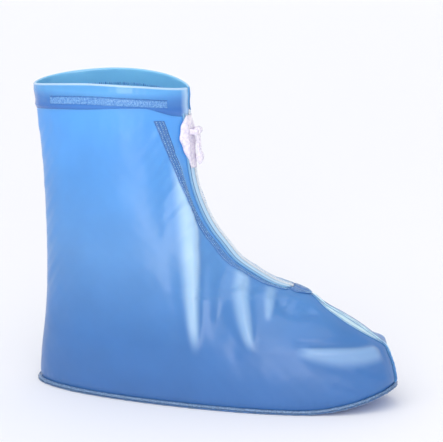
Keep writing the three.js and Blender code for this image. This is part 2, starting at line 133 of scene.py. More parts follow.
# Folds of the film. Each crest runs from (x0, z0) to (x1, z1), bowed sideways. "rear" and "fore" are
# the widths of its two flanks, and "flat" says how straight the rear flank is: 1 is a flat facet.
FOLDS = table(
    "x0 z0 x1 z1 bow rise rear fore flat",
    [
        (-31, 212, -2, 44, 4.5, 6.0, 17, 5.0, 1.0),
        (-6, 176, 12, 54, 10.0, -2.6, 7, 11, 0.0),
        (23, 130, 45, 50, -1.0, 3.4, 14, 5.5, 1.0),
        (50, 114, 55, 74, 1.0, 1.6, 8, 4.5, 1.0),
        (54, 97, 98, 81, -7.0, -2.4, 6, 6, 0.0),
        (60, 91, 84, 93, 0.0, 1.2, 5, 4, 0.0),
        (78, 54, 164, 50, -1.0, 3.2, 19, 4.8, 1.0),
        (150, 57, 76, 61, 1.0, -1.2, 4, 4, 0.0),
        (147, 52, 155, 20, -1.5, 0.9, 5, 4, 1.0),
        (-128, 205, -118, 60, 3.0, 0.4, 22, 22, 0.0),
        (-40, 236, -30, 205, 2.0, 1.2, 9, 6, 0.0),
        (10, 88, 34, 40, 3.0, -1.0, 10, 12, 0.0),
    ],
)


def smooth(t):
    u = np.clip(t, 0.0, 1.0)
    return u * u * (3 - 2 * u)


def column(rows, name, z):
    """Smooth value of a table's column at a height, with no overshoot between its rows."""
    zs = rows["z"]
    values = rows[name]
    z = np.clip(np.asarray(z, float), zs[0], zs[-1])
    steps = np.diff(values) / np.diff(zs)
    before = steps[:-1]
    after = steps[1:]
    total = np.where(before + after == 0, 1.0, before + after)
    inner = np.where(before * after <= 0, 0.0, 2 * before * after / total)
    slopes = np.concatenate([steps[:1], inner, steps[-1:]])
    i = np.clip(np.searchsorted(zs, z) - 1, 0, len(zs) - 2)
    run = zs[i + 1] - zs[i]
    t = (z - zs[i]) / run
    cubic = t * t * (3 - 2 * t)
    bend = (1 - t) * slopes[i] - t * slopes[i + 1]
    return values[i] + (values[i + 1] - values[i]) * cubic + run * t * (1 - t) * bend


def section_at(name, z):
    return column(SECTIONS, name, z)


def toe_lift(x):
    return TOE_SPRING * np.clip((x - TOE_SPRING_FROM) / TOE_SPRING_RUN, 0, None) ** 2


def smooth_point(z, angle):
    """Point of the plain outer surface. Angle 0 is the zip line, pi the back, negative the right."""
    z, angle = np.broadcast_arrays(np.asarray(z, float), np.asarray(angle, float))
    widest = section_at("widest", z)
    cos = np.cos(angle)
    sin = np.sin(angle)
    end = np.where(cos > 0, section_at("front", z), section_at("back", z))
    power = np.where(cos > 0, section_at("front_power", z), section_at("back_power", z))
    x = widest + np.abs(end - widest) * cos
    y = np.sign(sin) * section_at("half", z) * np.abs(sin) ** power
    fade = np.clip((TOE_SPRING_FADE - z) / (TOE_SPRING_FADE - TOE_SPRING_FULL), 0, 1)
    lift = toe_lift(x + FRAME_SHIFT) * fade
    arch = RIM_ARCH * sin * sin * smooth((z - RIM_ARCH_FROM) / (HEIGHT - RIM_ARCH_FROM))
    return np.stack([x + FRAME_SHIFT, y, z + lift + arch], axis=-1)


def outward(z, angle):
    dz = 0.05
    da = 0.0005
    up = smooth_point(np.minimum(z + dz, HEIGHT), angle) - smooth_point(np.maximum(z - dz, 0), angle)
    around = smooth_point(z, angle + da) - smooth_point(z, angle - da)
    normal = np.cross(around, up)
    return normal / np.linalg.norm(normal, axis=-1, keepdims=True)


def fold_profile(x, z, k):
    """How far along fold k a place is, 0 outside it, and its height from 0 to 1 across the fold."""
    f = {name: values[k] for name, values in FOLDS.items()}
    length = math.hypot(f["x1"] - f["x0"], f["z1"] - f["z0"])
    ax = (f["x1"] - f["x0"]) / length
    az = (f["z1"] - f["z0"]) / length
    t = ((x - f["x0"]) * ax + (z - f["z0"]) * az) / length
    inside = (t > 0) & (t < 1)
    swell = np.where(inside, np.sin(math.pi * np.clip(t, 0, 1)), 0.0)
    offset = (x - f["x0"]) * -az + (z - f["z0"]) * ax - f["bow"] * swell
    spread = 0.35 + 0.65 * swell
    rear = f["rear"] * spread
    fore = f["fore"] * (0.5 + 0.5 * swell)
    round_flank = np.exp(-((offset / np.where(offset < 0, rear, fore)) ** 2))
    ramp = np.clip(1 + offset / (1.25 * rear), 0, 1)
    facet = np.where(offset < 0, ramp * ramp * (1.6 - 0.6 * ramp), round_flank)
    return swell, f["flat"] * facet + (1 - f["flat"]) * round_flank, f["rise"]


def fold_rise(x, z):
    total = np.zeros_like(x)
    for k in range(len(FOLDS["z0"])):
        swell, height, rise = fold_profile(x, z, k)
        total += rise * smooth(swell * 1.35) * height
    return total


def soft_waves(x, z, side):
    """Slack of the film: a few long, low waves, different on each side."""
    rng = np.random.default_rng(7 + side)
    total = np.zeros_like(x)
    for _ in range(9):
        length = rng.uniform(26, 70)
        turn = rng.normal(0, 0.55)
        phase = rng.uniform(0, 2 * math.pi)
        total += 0.09 * np.sin((x * math.cos(turn) + z * math.sin(turn)) * 2 * math.pi / length + phase)
    for _ in range(10):
        length = rng.uniform(7, 16)
        turn = rng.uniform(0, math.pi)
        phase = rng.uniform(0, 2 * math.pi)
        total += 0.014 * np.sin((x * math.cos(turn) + z * math.sin(turn)) * 2 * math.pi / length + phase)
    return total


def weld_puckers(x, z, y, side):
    """Short wrinkles that the welds draw into the film beside them."""
    near_zip = np.exp(-(((np.abs(y) - 22) / 9) ** 2)) * smooth((z - 70) / 25) * smooth((236 - z) / 12)
    along = 0.85 * x - 0.55 * z + side * 3.7
    zip_side = near_zip * (0.3 * np.sin(along * 0.42) + 0.2 * np.sin(along * 0.83 + 1.3))
    near_sole = np.exp(-(((z - 7) / 6) ** 2)) * smooth((z - 2) / 4)
    sole_side = near_sole * (0.14 * np.sin(x * 0.5 + 2 * np.sin(x * 0.07)) + 0.08 * np.sin(x * 1.1))
    near_hem = np.exp(-(((z - 232) / 9) ** 2))
    hem_side = near_hem * (0.16 * np.sin(x * 0.33 + side) + 0.08 * np.sin(x * 0.71))
    near_toe = np.exp(-(((x - 135) / 22) ** 2)) * smooth((z - 12) / 12) * smooth((62 - z) / 10)
    toe_side = near_toe * 0.35 * np.sin(0.5 * z + 0.22 * x + side)
    return zip_side + sole_side + hem_side + toe_side


def clear_of_welds(y):
    """0 beside the zip and the toe seam, where the film is held, and 1 where it may fold."""
    return smooth((np.abs(y) - FOLDS_FROM) / FOLDS_FADE)


def film_point(z, angle, out, slack=1.0):
    """Point of the film, "out" millimetres outside its outer face."""
    z, angle, out = np.broadcast_arrays(*[np.asarray(v, float) for v in (z, angle, out)])
    point = smooth_point(z, angle)
    away = clear_of_welds(point[..., 1])
    rise = fold_rise(point[..., 0], point[..., 2]) * away
    low = smooth((z - 4) / 16)
    side = np.where(angle < 0, 0, 1)
    waves = np.where(side == 0, soft_waves(point[..., 0], z, 0), soft_waves(point[..., 0], z, 1))
    puckers = weld_puckers(point[..., 0], point[..., 2], point[..., 1], side)
    total = out + rise * smooth(z / 12) + slack * (waves * away * low + puckers * smooth(z / 6))
    return point + outward(z, angle) * total[..., None]


def angle_at_side(z, side):
    power = 1 / section_at("front_power", z)
    return np.sign(side) * np.arcsin((np.abs(side) / section_at("half", z)) ** power)


def angle_at_back(z, side):
    power = 1 / section_at("back_power", z)
    return math.pi - np.arcsin((side / section_at("half", z)) ** power)


def slot_half(z):
    return 0.35 + (ZIP_SLOT - 0.35) * smooth((z - TOE_END) / (ZIP_END - TOE_END))


# ---- meshes ----
def new_object(name, data):
    obj = bpy.data.objects.new(name, data)
    bpy.context.scene.collection.objects.link(obj)
    return obj


def make_object(name, vertices, faces, uv=None, values=None):
    """Mesh object from millimetres, with outward faces, a uv map and named point attributes."""
    vertices = np.asarray(vertices, float) * MM
    mesh = bpy.data.meshes.new(name)
    mesh.from_pydata(vertices.tolist(), [], [list(f) for f in faces])
    if signed_volume(vertices, faces) < 0:
        mesh.flip_normals()
    mesh.polygons.foreach_set("use_smooth", [True] * len(mesh.polygons))
    if uv is not None:
        layer = mesh.uv_layers.new(name="lie")
        corners = np.zeros(len(mesh.loops), int)
        mesh.loops.foreach_get("vertex_index", corners)
        layer.data.foreach_set("uv", (uv[corners] * MM).ravel())
    for key, numbers in (values or {}).items():
        attribute = mesh.attributes.new(key, "FLOAT", "POINT")
        attribute.data.foreach_set("value", np.asarray(numbers, float).ravel())
    return new_object(name, mesh)


def signed_volume(vertices, faces):
    total = 0.0
    for count in {len(f) for f in faces}:
        corners = vertices[np.array([f for f in faces if len(f) == count])]
        for k in range(1, count - 1):
            total += np.einsum("ij,ij->", corners[:, 0], np.cross(corners[:, k], corners[:, k + 1]))
    return total


def run_lengths(grid, axis):
    steps = np.linalg.norm(np.diff(grid, axis=axis), axis=-1)
    lengths = np.cumsum(steps, axis=axis)
    first = np.zeros_like(np.take(lengths, [0], axis=axis))
    return np.concatenate([first, lengths], axis=axis)


def shell(name, outer, inner, values=None):
    """Closed thin solid between two grids of points."""
    rows, columns = outer.shape[:2]
    index = np.arange(rows * columns).reshape(rows, columns)
    low = index + rows * columns
    faces = []
    for i in range(rows - 1):
        for j in range(columns - 1):
            faces.append((index[i, j], index[i, j + 1], index[i + 1, j + 1], index[i + 1, j]))
            faces.append((low[i, j], low[i + 1, j], low[i + 1, j + 1], low[i, j + 1]))
        last = columns - 1
        faces.append((index[i, 0], index[i + 1, 0], low[i + 1, 0], low[i, 0]))
        faces.append((index[i, last], low[i, last], low[i + 1, last], index[i + 1, last]))
    for j in range(columns - 1):
        last = rows - 1
        faces.append((index[0, j], low[0, j], low[0, j + 1], index[0, j + 1]))
        faces.append((index[last, j], index[last, j + 1], low[last, j + 1], low[last, j]))
    uv = np.stack([run_lengths(outer, 1), run_lengths(outer, 0)], axis=-1).reshape(-1, 2)
    doubled = {k: np.concatenate([v.ravel(), v.ravel()]) for k, v in (values or {}).items()}
    doubled.setdefault("inside", np.repeat([0.0, 1.0], rows * columns))
    points = np.concatenate([outer.reshape(-1, 3), inner.reshape(-1, 3)])
    return make_object(name, points, faces, np.concatenate([uv, uv]), doubled)


def strip_grid(heights, near, far, columns, out, slack=1.0):
    """Grid that lies on the film between two distances from the middle plane."""
    z = heights[:, None]
    t = np.linspace(0, 1, columns)[None, :]
    side = near[:, None] + (far - near)[:, None] * t
    return film_point(z, angle_at_side(z, side), out, slack)


# ---- one helper for nodes ----
def add(tree, kind, inputs=None, **settings):
    node = tree.nodes.new(kind)
    for key, value in settings.items():
        setattr(node, key, value)
    for key, value in (inputs or {}).items():
        socket = node.inputs[key]
        if isinstance(value, bpy.types.NodeSocket):
            tree.links.new(value, socket)
        else:
            socket.default_value = value
    return node


def linear(code, alpha=1.0):
    """sRGB hex colour as linear numbers."""
    parts = [int(code[k : k + 2], 16) / 255 for k in (1, 3, 5)]
    return [v / 12.92 if v <= 0.04045 else ((v + 0.055) / 1.055) ** 2.4 for v in parts] + [alpha]


def new_material(name):
    made = bpy.data.materials.new(name)
    made.use_nodes = True
    made.node_tree.nodes.clear()
    return made, made.node_tree


def finish_material(tree, surface):
    shader = add(tree, "ShaderNodeBsdfPrincipled", surface)
    add(tree, "ShaderNodeOutputMaterial", {"Surface": shader.outputs[0]})


def ramp(tree, factor, stops):
    node = add(tree, "ShaderNodeValToRGB", {"Fac": factor})
    elements = node.color_ramp.elements
    while len(elements) < len(stops):
        elements.new(0.5)
    for element, (place, code) in zip(elements, stops):
        element.position = place
        element.color = linear(code)
    return node.outputs["Color"]


def height_factor(tree, coordinates):
    split = add(tree, "ShaderNodeSeparateXYZ", {0: coordinates})
    spread = add(tree, "ShaderNodeMapRange", {0: split.outputs["Z"], 1: 0.0, 2: HEIGHT * MM})
    return spread.outputs[0]


def film_material(name, stops, rough, grain_mm, glow=0.3, coat=0.22):
    """Calendered PVC film: satin and a little cloudy, its colour a ramp on height, painted paler as a
    highlight on fold flanks where an attribute says, and paler on the inner face for light through the
    film.
    """
    made, tree = new_material(name)
    place = add(tree, "ShaderNodeTexCoord").outputs["Object"]
    base = ramp(tree, height_factor(tree, place), stops)
    cloud = add(tree, "ShaderNodeTexNoise", {"Vector": place, "Scale": 1 / FILM_CLOUD, "Detail": 3.0})
    shade = add(tree, "ShaderNodeMapRange", {0: cloud.outputs[0], 1: 0.3, 2: 0.7, 3: 0.94, 4: 1.06})
    clouded = add(tree, "ShaderNodeHueSaturation", {"Color": base, "Value": shade.outputs[0]})
    # Painted highlight: the film is painted paler where this attribute is set.
    painted_highlight = add(tree, "ShaderNodeAttribute", attribute_name="painted_highlight")
    tint = add(
        tree,
        "ShaderNodeMix",
        {0: painted_highlight.outputs["Fac"], 6: clouded.outputs[0], 7: linear(FILM_PAINTED_HIGHLIGHT)},
        data_type="RGBA",
    )
    inside = add(tree, "ShaderNodeAttribute", attribute_name="inside")
    depth = add(tree, "ShaderNodeMath", {0: inside.outputs["Fac"], 1: 0.85}, operation="MULTIPLY")
    lit = add(
        tree,
        "ShaderNodeMix",
        {0: depth.outputs[0], 6: tint.outputs[2], 7: linear(FILM_INSIDE)},
        data_type="RGBA",
    )
    grain = add(tree, "ShaderNodeTexNoise", {"Vector": place, "Scale": 1 / (grain_mm * MM)})
    haze = add(tree, "ShaderNodeMapRange", {0: cloud.outputs[0], 3: rough - 0.05, 4: rough + 0.06})
    relief = {"Strength": 0.12, "Distance": 0.00012, "Height": grain.outputs[0]}
    surface = {
        "Base Color": lit.outputs[2],
        "Roughness": haze.outputs[0],
        "IOR": 1.53,
        "Subsurface Weight": glow,
        "Subsurface Radius": (0.35, 0.75, 1.0),
        "Subsurface Scale": 0.0035,
        "Coat Weight": coat,
        "Coat Roughness": 0.17,
        "Coat IOR": 1.5,
        "Normal": add(tree, "ShaderNodeBump", relief).outputs[0],
    }
    finish_material(tree, surface)
    return made


def plain_material(name, low, high, rough, grain_mm, bump_mm, ior=1.5, coat=0.0, glow=0.0):
    """Plastic or welded surface with fine uneven colour, sheen and relief."""
    made, tree = new_material(name)
    place = add(tree, "ShaderNodeTexCoord").outputs["Object"]
    grain = add(
        tree,
        "ShaderNodeTexNoise",
        {"Vector": place, "Scale": 1 / (grain_mm * MM), "Detail": 4.0, "Roughness": 0.6},
    )
    colour = ramp(tree, grain.outputs[0], [(0.32, low), (0.68, high)])
    haze = add(tree, "ShaderNodeMapRange", {0: grain.outputs[0], 3: rough - 0.06, 4: rough + 0.1})
    relief = {"Strength": 0.5, "Distance": bump_mm * MM, "Height": grain.outputs[0]}
    surface = {
        "Base Color": colour,
        "Roughness": haze.outputs[0],
        "IOR": ior,
        "Coat Weight": coat,
        "Coat Roughness": 0.12,
        "Subsurface Weight": glow,
        "Subsurface Radius": (0.8, 0.9, 1.0),
        "Subsurface Scale": 0.002,
        "Normal": add(tree, "ShaderNodeBump", relief).outputs[0],
    }
    finish_material(tree, surface)
    return made


def woven_material(name, low, high, thread_mm):
    """Woven polyester tape: rows of threads along and across it, from its own uv in metres."""
    made, tree = new_material(name)
    lie = add(tree, "ShaderNodeUVMap", uv_map="lie").outputs[0]
    scale = 1 / (thread_mm * MM)
    across = add(
        tree, "ShaderNodeTexWave", {"Vector": lie, "Scale": scale / 6.28}, bands_direction="X"
    )
    along = add(
        tree, "ShaderNodeTexWave", {"Vector": lie, "Scale": scale / 4.4}, bands_direction="Y"
    )
    weave = add(
        tree, "ShaderNodeMath", {0: across.outputs["Fac"], 1: along.outputs["Fac"]}, operation="MULTIPLY"
    )
    threads = ramp(tree, weave.outputs[0], [(0.1, low), (0.75, high)])
    # Painted shade lines and painted highlight stripes across the tape's width, multiplied over the
    # threads.
    across_mm = add(tree, "ShaderNodeSeparateXYZ", {0: lie})
    share = add(tree, "ShaderNodeMapRange", {0: across_mm.outputs["X"], 1: 0.0, 2: TAPE_WIDTH * MM})
    painted_lines = ramp(tree, share.outputs[0], TAPE_PAINTED_SHADE_AND_HIGHLIGHT)
    colour = add(
        tree, "ShaderNodeMix", {0: 1.0, 6: threads, 7: painted_lines}, data_type="RGBA", blend_type="MULTIPLY"
    ).outputs[2]
    relief = {"Strength": 0.6, "Distance": 0.00015, "Height": weave.outputs[0]}
    surface = {
        "Base Color": colour,
        "Roughness": 0.42,
        "IOR": 1.5,
        "Sheen Weight": 0.25,
        "Coat Weight": 0.35,
        "Coat Roughness": 0.2,
        "Subsurface Weight": 0.2,
        "Subsurface Radius": (0.8, 0.9, 1.0),
        "Subsurface Scale": 0.002,
        "Normal": add(tree, "ShaderNodeBump", relief).outputs[0],
    }
    finish_material(tree, surface)
    return made


# ---- colours and materials ----
FILM_CLOUD = 0.045  # metres from one cloudy patch of the film to the next
# Colour of the painted highlight on the folds' flat flanks and the hem's rolled edge.
FILM_PAINTED_HIGHLIGHT = "#b9dafa"
FILM_INSIDE = "#86d2ff"  # the inner face looks paler, because light comes through the film
# Colour across the zip tape's width: its darker edges and dark line are painted shade, its white stripes
# painted highlights.
TAPE_PAINTED_SHADE_AND_HIGHLIGHT = [
    (0.0, "#5f93b5"),
    (0.09, "#e6f5fb"),
    (0.62, "#ffffff"),
    (0.72, "#7fb4d3"),
    (0.8, "#35719f"),
    (0.87, "#5f9fc4"),
    (0.93, "#ffffff"),
    (1.0, "#9cc9e2"),
]
# Film colour by height, darker at the sole: its lighter top is painted light, standing for light that comes
# through the film from the open rim.
FILM_STOPS = [
    (0.0, "#376aa9"),
    (0.2, "#3570b2"),
    (0.48, "#558fce"),
    (0.72, "#5096de"),
    (0.92, "#52a0f0"),
]
# Hem colour by height: deeper blue, painted lighter towards the rim's top as on the film.
HEM_STOPS = [(0.9, "#3b79c6"), (0.94, "#3270c0"), (0.97, "#3d80ce"), (1.0, "#5ba4e6")]
# Toe seam colour by height: film blue below the toe corner, and above it a pale cyan that is a painted
# highlight on the seam's upward-facing top.
LEAF_STOPS = [(0.0, "#447cba"), (0.17, "#5f9fd8"), (0.22, "#c2e9fa"), (0.36, "#caeffe")]
# Thin film from heated rollers: a satin, cloudy blue with soft broad highlights, partly real reflections
# and partly painted paler on the fold flanks; its blue is painted lighter towards the top.
FILM = film_material("pvc_film_calendered", FILM_STOPS, 0.36, 0.7)
# The same film folded double: deeper blue and glossier; its bright rolled edge and front corner are a
# painted highlight.
HEM_FILM = film_material("pvc_film_doubled_hem", HEM_STOPS, 0.24, 0.7, glow=0.2)
# Thicker sheet from an embossed roller: a duller, finely pebbled blue.
SOLE_FILM = plain_material("pvc_sole_embossed", "#3c6fb4", "#4a83cb", 0.38, 2.4, 0.35)
# Film melted flat by a welding bar: darker and glossy, with fine unevenness.
WELD = plain_material("pvc_weld_knurled", "#2a5796", "#4f88cd", 0.2, 0.9, 0.25, coat=0.5)
# Points that the bar's knurling leaves: dark blue, with pale glints painted into the colour.
KNURL = plain_material("pvc_weld_raised_points", "#2a5797", "#a6d8f2", 0.16, 1.3, 0.3, coat=0.6)
# Three layers melted together at the sole's edge: navy, with bright glints painted into the colour.
WELD_DARK = plain_material("pvc_weld_sole_edge", "#172b4d", "#7fa8d6", 0.18, 0.8, 0.3, coat=0.6)
# Clear film welded over the toe: very glossy, painted pale above as a highlight on its upward-facing top,
# and as blue as the rest below.
LEAF = film_material("pvc_seam_leaf", LEAF_STOPS, 0.2, 1.6, coat=0.5)
# Elastic welded in under tension: a busy mix of pale and dark gathers.
ELASTIC = plain_material("elastic_gathered_weld", "#3576c4", "#80b6e8", 0.22, 1.1, 0.3, coat=0.4)
# Woven tape under a clear film: nearly white; the dark lines along it are painted shade and its white
# stripes painted highlights.
TAPE = woven_material("polyester_zip_tape_woven", "#9fc6e8", "#e6f3fb", 0.6)
# Drawn monofilament: a milky, slightly shiny white.
COIL = plain_material("nylon_zip_coil", "#cfdfee", "#f4f7fb", 0.3, 1.2, 0.1, coat=0.3, glow=0.3)
# Injection-moulded: a waxy white with a breath of lilac in its hollows.
MOULDED = plain_material("acetal_moulded_white", "#d9d2ea", "#f4eef6", 0.26, 2.6, 0.15, coat=0.3, glow=0.35)


def dress(obj, made):
    obj.data.materials.clear()
    obj.data.materials.append(made)
    return obj


# ---- repeated relief, with Geometry Nodes ----
def bump_tree(name, made):
    """Rounded bumps on points: each is turned to its point's "facing" and "along" directions."""
    tree = bpy.data.node_groups.new(name, "GeometryNodeTree")
    face = tree.interface
    face.new_socket(name="Geometry", in_out="INPUT", socket_type="NodeSocketGeometry")
    sockets = {
        label: face.new_socket(name=label, in_out="INPUT", socket_type="NodeSocketFloat").identifier
        for label in ("Length", "Width", "Height", "Uneven")
    }
    face.new_socket(name="Geometry", in_out="OUTPUT", socket_type="NodeSocketGeometry")
    given = add(tree, "NodeGroupInput")
    facing = add(tree, "GeometryNodeInputNamedAttribute", {"Name": "facing"}, data_type="FLOAT_VECTOR")
    along = add(tree, "GeometryNodeInputNamedAttribute", {"Name": "along"}, data_type="FLOAT_VECTOR")
    up = add(tree, "FunctionNodeAlignRotationToVector", {"Vector": facing.outputs[0]}, axis="Z")
    turned = add(
        tree,
        "FunctionNodeAlignRotationToVector",
        {"Rotation": up.outputs[0], "Vector": along.outputs[0]},
        axis="X",
        pivot_axis="Z",
    )
    low = add(tree, "ShaderNodeMath", {0: 1.0, 1: given.outputs["Uneven"]}, operation="SUBTRACT")
    high = add(tree, "ShaderNodeMath", {0: 1.0, 1: given.outputs["Uneven"]}, operation="ADD")
    vary = add(
        tree,
        "FunctionNodeRandomValue",
        {2: low.outputs[0], 3: high.outputs[0], "Seed": 11},
        data_type="FLOAT",
    )
    size = add(
        tree,
        "ShaderNodeCombineXYZ",
        {0: given.outputs["Length"], 1: given.outputs["Width"], 2: given.outputs["Height"]},
    )
    scaled = add(
        tree, "ShaderNodeVectorMath", {0: size.outputs[0], "Scale": vary.outputs[1]}, operation="SCALE"
    )
    bead = add(tree, "GeometryNodeMeshIcoSphere", {"Radius": 0.5, "Subdivisions": 2})
    smooth_bead = add(tree, "GeometryNodeSetShadeSmooth", {0: bead.outputs[0]})
    placed = add(
        tree,
        "GeometryNodeInstanceOnPoints",
        {
            "Points": given.outputs["Geometry"],
            "Instance": smooth_bead.outputs[0],
            "Rotation": turned.outputs[0],
            "Scale": scaled.outputs[0],
        },
    )
    real = add(tree, "GeometryNodeRealizeInstances", {0: placed.outputs[0]})
    painted = add(tree, "GeometryNodeSetMaterial", {0: real.outputs[0], "Material": made})
    add(tree, "NodeGroupOutput", {0: painted.outputs[0]})
    return tree, sockets


def bumps(name, made, points, facing, along, length, width, height, uneven=0.15):
    """Plain mesh of bumps; sizes in millimetres along the row, across it and outwards."""
    mesh = bpy.data.meshes.new(name + "_points")
    mesh.from_pydata((points * MM).tolist(), [], [])
    for key, vectors in (("facing", facing), ("along", along)):
        attribute = mesh.attributes.new(key, "FLOAT_VECTOR", "POINT")
        attribute.data.foreach_set("vector", np.asarray(vectors, float).ravel())
    holder = new_object(name + "_points", mesh)
    tree, sockets = bump_tree(name + "_tree", made)
    modifier = holder.modifiers.new("bumps", "NODES")
    modifier.node_group = tree
    sizes = {"Length": length * MM, "Width": width * MM, "Height": height * MM, "Uneven": uneven}
    for label, value in sizes.items():
        modifier[sockets[label]] = value
    graph = bpy.context.evaluated_depsgraph_get()
    graph.update()
    result = bpy.data.meshes.new_from_object(holder.evaluated_get(graph))
    bpy.data.objects.remove(holder)
    return new_object(name, result)


def unit(vectors):
    return vectors / np.maximum(np.linalg.norm(vectors, axis=-1, keepdims=True), 1e-9)


def row_of_points(path, facing, pitch, phase=0.0):
    """Points at equal steps along a path, with their facing and the path's direction."""
    runs = run_lengths(path, 0)
    places = np.arange(phase * pitch, runs[-1], pitch)
    at = np.stack([np.interp(places, runs, path[:, k]) for k in range(3)], axis=-1)
    out = np.stack([np.interp(places, runs, facing[:, k]) for k in range(3)], axis=-1)
    ahead = np.stack([np.interp(places + 0.3, runs, path[:, k]) for k in range(3)], axis=-1)
    behind = np.stack([np.interp(places - 0.3, runs, path[:, k]) for k in range(3)], axis=-1)
    return at, unit(out), unit(ahead - behind)


def row_on_film(heights, side, out, pitch, phase=0.0):
    """Row of points on the film at given distances from the middle plane."""
    angle = angle_at_side(heights, side)
    return row_of_points(film_point(heights, angle, out), outward(heights, angle), pitch, phase)


# ---- pieces ----
RIDES = []


def piece(obj, made, slot, *nodes, body="cover"):
    dress(obj, made)
    if nodes:
        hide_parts(*nodes)
    RIDES.append((obj, body))
    return obj


def bump_piece(name, made, slot, rows, sizes, uneven):
    """Rows of bumps as one piece; sizes are along the row, across it and outwards."""
    at, facing, along = [np.concatenate(parts) for parts in zip(*rows)]
    return piece(bumps(name, made, at, facing, along, *sizes, uneven), made, slot)


def painted_highlight_of(x, z):
    """Painted highlight on the folds' flat flanks: how much paler the film is painted there."""
    pale = np.zeros_like(x)
    for k, strength in ((0, 0.72), (2, 0.45), (3, 0.35), (6, 0.36)):
        swell, height, _ = fold_profile(x, z, k)
        pale = np.maximum(pale, strength * smooth(swell * 2.0) * smooth((height - 0.2) / 0.6))
    return pale


SIDES = (("right", -1), ("left", 1))


def side_film(label, sign):
    bands = ((1.85, 60, 52), (60, 110, 50), (110, HEIGHT, 92))
    heights = np.unique(np.concatenate([np.linspace(*band) for band in bands]))
    z = heights[:, None]
    share = np.linspace(0, 1, PANEL_COLUMNS + 1)[None, :] ** 1.15
    first = angle_at_side(z, slot_half(z))
    last = angle_at_back(z, 0.12 + 0 * z)
    angle = sign * (first + (last - first) * share)
    outer = film_point(z, angle, 0.0)
    inner = film_point(z, angle, -FILM_WALL)
    flat = smooth_point(z, angle)
    # How much the fold flanks are painted paler as a highlight, none beside the welds.
    pale = painted_highlight_of(flat[..., 0], flat[..., 2]) * clear_of_welds(flat[..., 1])
    made = shell("film_" + label, outer, inner, {"painted_highlight": pale})
    return piece(made, FILM, "film", "side_panel_" + label)


def hem_edge(x):
    """Height of the hem's lower edge: level at the back, dipping towards the zip."""
    return HEM_BACK + 3.0 * smooth((x + 110) / 60) - 6.0 * smooth((x + 52) / 26)


def hem(label, sign):
    """Rim turned in and welded: an outer layer, a rolled edge and an inner layer."""
    columns = 150
    top = HEIGHT
    first = angle_at_side(np.array(top), 3.2)
    last = angle_at_back(np.array(top), 0.12)
    angle = sign * np.linspace(float(first), float(last), columns)
    x = smooth_point(248.0, angle)[:, 0]
    low = hem_edge(x)
    outside = np.linspace(0, 1, 26)[:, None]
    z = low[None, :] + (top - low)[None, :] * outside
    swell = np.exp(-(((z - 241.5) / 3.0) ** 2)) * 0.7 + np.exp(-(((z - 254.5) / 3.2) ** 2)) * 0.45
    crinkle = 0.05 * np.sin(x * 0.9 + 3 * np.sin(x * 0.11)) * smooth((z - low) / 6)
    lift = 0.25 * smooth(outside * 8) + 0.12
    outer_face = film_point(z, angle[None, :], lift + 0.35 + swell * smooth(outside * 6) + crinkle)
    inner_face = film_point(z, angle[None, :], lift - 0.05 + 0 * z)
    turn = np.linspace(0, math.pi, 9)[1:-1][:, None]
    crown = film_point(np.full((1, columns), top), angle[None, :], 0.0)
    side = outward(np.full((1, columns), top), angle[None, :])
    up = np.array([0.0, 0.0, 1.0])
    centre = crown - side * 0.45
    roll = centre + side * (np.cos(turn) * HEM_ROLL)[..., None] + up * (np.sin(turn) * HEM_ROLL)[..., None]
    roll_in = centre + side * (np.cos(turn) * 0.55)[..., None] + up * (np.sin(turn) * 0.55)[..., None]
    inside = np.linspace(1, 0, 20)[:, None]
    zi = HEM_INSIDE + (top - HEM_INSIDE) * inside + 0 * x[None, :]
    ruffle = 0.15 * np.sin(x * 0.7 + sign) * (1 - inside)
    inner_out = film_point(zi, angle[None, :], -FILM_WALL - 0.2 + 0 * zi)
    inner_in = film_point(zi, angle[None, :], -FILM_WALL - 0.75 + ruffle)
    outer = np.concatenate([outer_face, roll, inner_in])
    inner = np.concatenate([inner_face, roll_in, inner_out])
    inward = np.zeros(outer.shape[:2])
    inward[30:] = 1.0
    # Painted highlight: a pale stripe at the front corner and a bright line along the rolled edge.
    painted_edge_highlight = np.zeros(outer.shape[:2])
    painted_edge_highlight[:26, :12] = 0.75 * np.clip(1 - np.abs(np.arange(12) - 4) / 8, 0, 1)
    painted_edge_highlight[25:33] = 0.85
    made = shell("hem_" + label, outer, inner, {"inside": inward, "painted_highlight": painted_edge_highlight})
    return piece(made, HEM_FILM, "hem_film", "top_hem_" + label)


